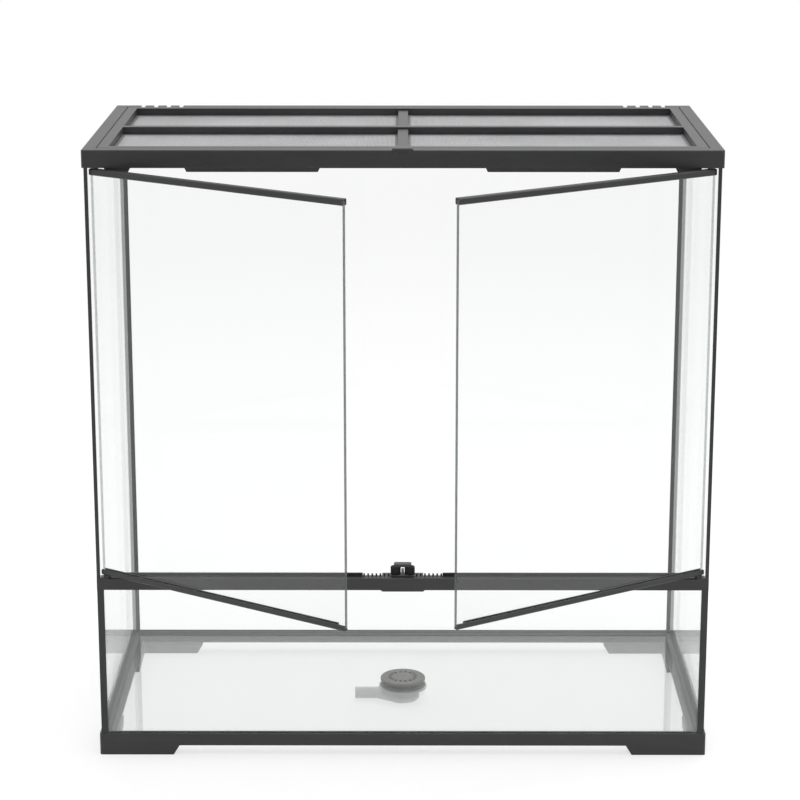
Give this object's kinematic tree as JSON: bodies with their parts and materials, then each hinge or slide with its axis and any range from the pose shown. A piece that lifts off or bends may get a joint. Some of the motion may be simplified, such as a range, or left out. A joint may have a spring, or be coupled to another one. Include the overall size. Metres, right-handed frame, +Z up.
{
  "type": "terrarium cabinet",
  "caption": "Front-opening glass terrarium cabinet with a lift-off screen lid, two hinged glass doors over a vent bar, a moulded base with feet and a screened floor drain.",
  "frame": {"origin": "on the floor under the middle of the cabinet's footprint", "axes": "+X to the right seen from the front, +Y to the back, +Z up; the doors are at -Y"},
  "size_m": [0.6, 0.4588, 0.6061],
  "materials": {
    "frame_plastic": "fine-grained charcoal moulding",
    "pane_glass": "clear float glass",
    "sealant": "black silicone, matt",
    "screen_mesh": "woven wire, dull",
    "pin_steel": "drawn wire, bright",
    "roller_rubber": "notched black roller",
    "strainer_plastic": "grey-brown moulding",
    "cup_plastic": "translucent light grey moulding"
  },
  "bodies": {
    "cabinet": {"bottom_frame": "frame_plastic", "base_glass": "pane_glass", "base_seal": "sealant", "back_glass": "pane_glass", "side_glass_left": "pane_glass", "side_glass_right": "pane_glass", "front_glass": "pane_glass", "back_seal_left": "sealant", "back_seal_right": "sealant", "front_seal_left": "sealant", "front_seal_right": "sealant", "edge_trim_left": "sealant", "edge_trim_right": "sealant", "top_frame": "frame_plastic", "rim_clip": "frame_plastic", "vent_bar": "frame_plastic", "upper_hinge_bushes": "frame_plastic", "lower_hinge_bushes": "frame_plastic", "catch_base": "frame_plastic", "catch_pins": "pin_steel", "catch_plate": "frame_plastic", "drain_cup": "cup_plastic", "hose_spout": "cup_plastic", "drain_gasket": "sealant"},
    "left_door": {"left_door_glass": "pane_glass", "left_door_top_rail": "frame_plastic", "left_door_bottom_rail": "frame_plastic", "left_door_pins": "pin_steel"},
    "right_door": {"right_door_glass": "pane_glass", "right_door_top_rail": "frame_plastic", "right_door_bottom_rail": "frame_plastic", "right_door_pins": "pin_steel"},
    "left_roller": {"catch_roller_left": "roller_rubber"},
    "right_roller": {"catch_roller_right": "roller_rubber"},
    "lid": {"lid_frame": "frame_plastic", "lid_screen": "screen_mesh"},
    "strainer": {"drain_strainer": "strainer_plastic"},
    "sealing_ring": {"drain_ring": "sealant"}
  },
  "joints": [
    {"name": "left_door_hinge", "type": "hinge", "parent": "cabinet", "child": "left_door", "pos_m": [-0.288, -0.146, 0.3], "axis": [0, 0, -1], "range_deg": [-34, 70]},
    {"name": "right_door_hinge", "type": "hinge", "parent": "cabinet", "child": "right_door", "pos_m": [0.288, -0.146, 0.3], "axis": [0, 0, 1], "range_deg": [-33, 71]},
    {"name": "lid_lift", "type": "slide", "parent": "cabinet", "child": "lid", "axis": [0, 0, 1], "range_m": [0, 0.0685]},
    {"name": "left_roller_spin", "type": "hinge", "parent": "cabinet", "child": "left_roller", "pos_m": [-0.00685, -0.13875, 0.1892], "axis": [0, 0, 1], "continuous": true},
    {"name": "right_roller_spin", "type": "hinge", "parent": "cabinet", "child": "right_roller", "pos_m": [0.00685, -0.13875, 0.1892], "axis": [0, 0, 1], "continuous": true},
    {"name": "strainer_lift", "type": "slide", "parent": "cabinet", "child": "strainer", "axis": [0, 0, 1], "range_m": [0, 0.045]},
    {"name": "ring_lift", "type": "slide", "parent": "cabinet", "child": "sealing_ring", "axis": [0, 0, 1], "range_m": [0, 0.0225]}
  ],
  "couplings": [
    {"joint": "ring_lift", "follows": "strainer_lift", "ratio": 0.5}
  ]
}
